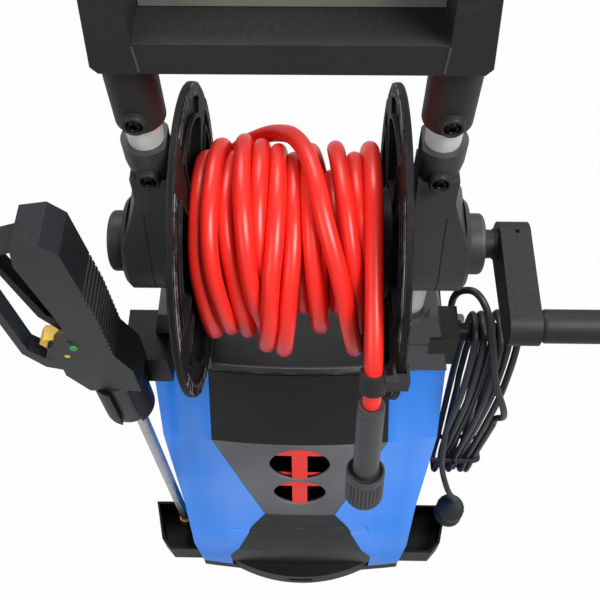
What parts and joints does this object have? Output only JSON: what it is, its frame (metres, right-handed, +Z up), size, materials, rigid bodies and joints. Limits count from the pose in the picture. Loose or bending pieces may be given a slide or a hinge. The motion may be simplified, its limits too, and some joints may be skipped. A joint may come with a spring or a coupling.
{
  "type": "pressure washer",
  "caption": "Upright wheeled electric pressure washer with a tube frame, hose reel with crank, holstered trigger gun and a stored power cord.",
  "frame": {"origin": "on the floor, straight below the middle of the reel's axle line, at the middle of the base's floor pad", "axes": "+Z up, -Y towards the front with the bumper, +X towards the crank side"},
  "size_m": [0.4812, 0.3983, 0.972],
  "materials": {
    "body_black": "fine satin texture",
    "frame_black": "satin",
    "body_grey": "satin",
    "panel_blue": "semi-gloss",
    "accent_red": "semi-gloss",
    "nose_black": "fine texture",
    "panel_olive": "matte",
    "rubber_black": "matte",
    "tyre_black": "matte",
    "tube_metal": "brushed, anodised",
    "steel": "brushed",
    "screw_black": "blackened",
    "brass": "machined",
    "hose_red": "semi-gloss",
    "cord_black": "satin",
    "gun_black": "satin",
    "lock_yellow": "semi-gloss",
    "motor_grey": "satin",
    "pump_metal": "cast"
  },
  "bodies": {
    "root": {"base_tray": "body_black", "front_feet": "rubber_black", "wheel_axle": "steel", "wheel_caps": "body_black", "front_cover": "body_black", "vee_panel": "body_grey", "window_insert": "accent_red", "nose_panel": "nose_black", "fairing_left": "panel_blue", "fairing_right": "panel_blue", "rear_cover": "body_black", "top_deck": "body_black", "column_left": "body_grey", "column_right": "body_grey", "frame_tubes": "tube_metal", "bracket_left": "frame_black", "bracket_right": "frame_black", "reel_bushes": "brass", "hub_caps": "frame_black", "handle_frame": "frame_black", "handle_panel": "panel_olive", "handle_grip": "rubber_black", "frame_screws": "screw_black", "hose_tail": "hose_red", "hose_clip": "rubber_black", "hose_ferrule": "rubber_black", "gun_holster": "body_black", "cord_hook": "body_black", "cord_gland": "rubber_black", "cord_lead": "cord_black", "cord_hank": "cord_black", "cord_tail": "cord_black", "cord_plug": "rubber_black", "motor_casing": "motor_grey", "pump_body": "pump_metal", "pump_pistons": "steel", "pump_head": "brass", "inlet_fitting": "brass", "feed_hose": "rubber_black", "switch_housing": "body_black"},
    "reel": {"reel_drum": "frame_black", "flange_left": "frame_black", "flange_right": "frame_black", "reel_axle": "steel", "crank_arm": "frame_black", "hose_core": "hose_red", "hose_coil": "hose_red"},
    "crank_knob": {"crank_knob": "frame_black"},
    "wheel_left": {"wheel_left": "frame_black", "tyre_left": "tyre_black"},
    "wheel_right": {"wheel_right": "frame_black", "tyre_right": "tyre_black"},
    "gun": {"gun_body": "gun_black", "lance_tube": "steel"},
    "trigger": {"gun_trigger": "body_black"},
    "lock": {"trigger_lock": "lock_yellow"},
    "nozzle": {"lance_nozzle": "brass"},
    "hose_nut": {"hose_nut": "frame_black"},
    "switch": {"switch_rocker": "accent_red"},
    "rotor": {"motor_rotor": "steel"}
  },
  "joints": [
    {"name": "reel_spin", "type": "hinge", "parent": "root", "child": "reel", "pos_m": [0, 0, 0.64], "axis": [1, 0, 0], "continuous": true},
    {"name": "crank_knob_spin", "type": "hinge", "parent": "reel", "child": "crank_knob", "pos_m": [0.2, -0.075, 0.64], "axis": [1, 0, 0], "continuous": true},
    {"name": "wheel_left_spin", "type": "hinge", "parent": "root", "child": "wheel_left", "pos_m": [-0.169, 0.125, 0.09], "axis": [1, 0, 0], "continuous": true},
    {"name": "wheel_right_spin", "type": "hinge", "parent": "root", "child": "wheel_right", "pos_m": [0.169, 0.125, 0.09], "axis": [1, 0, 0], "continuous": true},
    {"name": "gun_lift", "type": "slide", "parent": "root", "child": "gun", "axis": [0, 0, 1], "range_m": [0, 0.14]},
    {"name": "trigger_pull", "type": "hinge", "parent": "gun", "child": "trigger", "pos_m": [-0.178, -0.06, 0.612], "axis": [0, 1, 0], "range_deg": [0, 10], "stiffness_Nm_per_rad": 3, "springref_deg": -11.46},
    {"name": "trigger_lock_turn", "type": "hinge", "parent": "gun", "child": "lock", "pos_m": [-0.186, -0.06, 0.586], "axis": [0, 1, 0], "range_deg": [0, 20]},
    {"name": "nozzle_turn", "type": "hinge", "parent": "gun", "child": "nozzle", "pos_m": [-0.156, -0.06, 0.06], "axis": [0, 0, 1], "range_deg": [0, 90]},
    {"name": "hose_nut_spin", "type": "hinge", "parent": "root", "child": "hose_nut", "pos_m": [0.0572, -0.16288, 0.53541], "axis": [0, 0.2588, 0.9659], "continuous": true},
    {"name": "switch_rock", "type": "hinge", "parent": "root", "child": "switch", "pos_m": [0, 0.145, 0.385], "axis": [1, 0, 0], "range_deg": [0, 14]},
    {"name": "rotor_spin", "type": "hinge", "parent": "root", "child": "rotor", "pos_m": [0, 0.058, 0.25], "axis": [0, 0, 1], "continuous": true}
  ]
}
